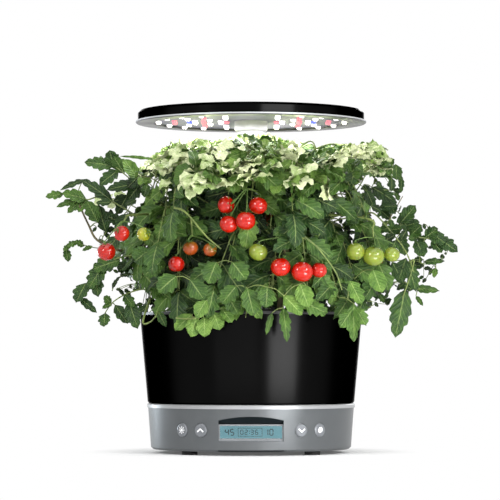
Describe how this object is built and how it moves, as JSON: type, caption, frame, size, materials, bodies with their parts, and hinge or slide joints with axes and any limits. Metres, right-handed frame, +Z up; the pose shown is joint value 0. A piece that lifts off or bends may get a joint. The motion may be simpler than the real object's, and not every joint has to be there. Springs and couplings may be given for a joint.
{
  "type": "countertop hydroponic garden",
  "caption": "Round countertop hydroponic garden: control base, water bowl, grow deck with tomato plants, and an LED light hood on a central telescoping post.",
  "frame": {"origin": "centre of the footprint, on the counter", "axes": "+Z up, front with the display and buttons towards -Y, +X to the right seen from the front"},
  "size_m": [0.4812, 0.3248, 0.399],
  "materials": {
    "base_paint": "satin metallic",
    "dark_plastic": "fine matt",
    "rubber_feet": "matt",
    "screw_steel": "satin",
    "bright_trim": "satin silver",
    "clear_window": "clear",
    "lcd_panel": "smooth",
    "circuit_board": "solder mask",
    "button_grey": "satin",
    "contact_brass": "satin",
    "post_metal": "satin",
    "hood_black": "high gloss",
    "led_board": "satin",
    "heat_aluminium": "satin",
    "led_white": "lit",
    "led_red": "lit",
    "led_blue": "lit",
    "hub_white": "satin",
    "bowl_black": "high gloss",
    "float_white": "matt",
    "filter_foam": "open foam",
    "deck_black": "fine matt",
    "basket_grey": "matt",
    "sponge_brown": "open foam",
    "stem_green": "fine hairs",
    "leaf_green": "soft sheen",
    "tomato_red": "waxy gloss"
  },
  "bodies": {
    "housing": {"base_shell": "base_paint", "bottom_plate": "dark_plastic", "feet": "rubber_feet", "base_screws": "screw_steel", "trim_ring": "bright_trim", "display_bezel": "bright_trim", "lcd_window": "clear_window", "lcd_module": "lcd_panel", "button_boards": "circuit_board", "main_board": "circuit_board", "power_jack": "dark_plastic", "supply_blades": "contact_brass", "post_outer": "post_metal", "post_lower_collar": "dark_plastic", "bowl": "bowl_black", "bowl_contacts": "contact_brass", "float_clip": "float_white", "pump_cover": "dark_plastic", "pump_body": "dark_plastic", "pump_filter": "filter_foam", "riser_tube": "float_white", "deck": "deck_black", "grow_basket_left": "basket_grey", "sponge_left": "sponge_brown", "plant_stem_left": "stem_green", "plant_leaves_left": "leaf_green", "tomatoes_left": "tomato_red", "grow_basket_front": "basket_grey", "sponge_front": "sponge_brown", "plant_stem_front": "stem_green", "plant_leaves_front": "leaf_green", "tomatoes_front": "tomato_red", "grow_basket_rear": "basket_grey", "sponge_rear": "sponge_brown", "plant_stem_rear": "stem_green", "plant_leaves_rear": "leaf_green", "tomatoes_rear": "tomato_red"},
    "light_key": {"light_button": "button_grey"},
    "up_key": {"up_button": "button_grey"},
    "down_key": {"down_button": "button_grey"},
    "feed_key": {"feed_button": "button_grey"},
    "middle_stage": {"post_middle": "post_metal", "post_upper_collar": "dark_plastic"},
    "hood": {"post_inner": "post_metal", "hood_shell": "hood_black", "hood_rim": "bright_trim", "led_board": "led_board", "heat_plate": "heat_aluminium", "leds_white": "led_white", "leds_red": "led_red", "leds_blue": "led_blue", "hub": "hub_white"},
    "float_body": {"float": "float_white"},
    "rotor": {"pump_impeller": "float_white"},
    "flap": {"fill_flap": "deck_black"},
    "cover_right": {"hole_cover_right": "deck_black"},
    "cover_rear_left": {"hole_cover_rear_left": "deck_black"},
    "cover_front_left": {"hole_cover_front_left": "deck_black"}
  },
  "joints": [
    {"name": "light_press", "type": "slide", "parent": "housing", "child": "light_key", "axis": [0.6587, 0.7524, 0], "range_m": [0, 0.0006], "stiffness_N_per_m": 400, "springref_m": -0.001},
    {"name": "up_press", "type": "slide", "parent": "housing", "child": "up_key", "axis": [0.4802, 0.8771, 0], "range_m": [0, 0.0006], "stiffness_N_per_m": 400, "springref_m": -0.001},
    {"name": "down_press", "type": "slide", "parent": "housing", "child": "down_key", "axis": [-0.4802, 0.8771, 0], "range_m": [0, 0.0006], "stiffness_N_per_m": 400, "springref_m": -0.001},
    {"name": "feed_press", "type": "slide", "parent": "housing", "child": "feed_key", "axis": [-0.6587, 0.7524, 0], "range_m": [0, 0.0006], "stiffness_N_per_m": 400, "springref_m": -0.001},
    {"name": "post_lower", "type": "slide", "parent": "housing", "child": "middle_stage", "axis": [0, 0, 1], "range_m": [-0.115, 0], "deforming": ["plant_stem_left", "plant_leaves_left", "tomatoes_left", "plant_stem_front", "plant_leaves_front", "tomatoes_front", "plant_stem_rear", "plant_leaves_rear", "tomatoes_rear"]},
    {"name": "post_upper", "type": "slide", "parent": "middle_stage", "child": "hood", "axis": [0, 0, 1], "range_m": [0, 0.075]},
    {"name": "float_rise", "type": "slide", "parent": "housing", "child": "float_body", "axis": [0, 0, 1], "range_m": [0, 0.0276]},
    {"name": "impeller_spin", "type": "hinge", "parent": "housing", "child": "rotor", "pos_m": [0, 0.066, 0.07], "axis": [0, 0, 1], "continuous": true},
    {"name": "flap_hinge", "type": "hinge", "parent": "housing", "child": "flap", "pos_m": [0, -0.089, 0.1651], "axis": [-1, 0, 0], "range_deg": [0, 95]},
    {"name": "cover_lift_right", "type": "slide", "parent": "housing", "child": "cover_right", "axis": [0, 0, 1], "range_m": [0, 0.014]},
    {"name": "cover_lift_rear_left", "type": "slide", "parent": "housing", "child": "cover_rear_left", "axis": [0, 0, 1], "range_m": [0, 0.014]},
    {"name": "cover_lift_front_left", "type": "slide", "parent": "housing", "child": "cover_front_left", "axis": [0, 0, 1], "range_m": [0, 0.014]}
  ]
}
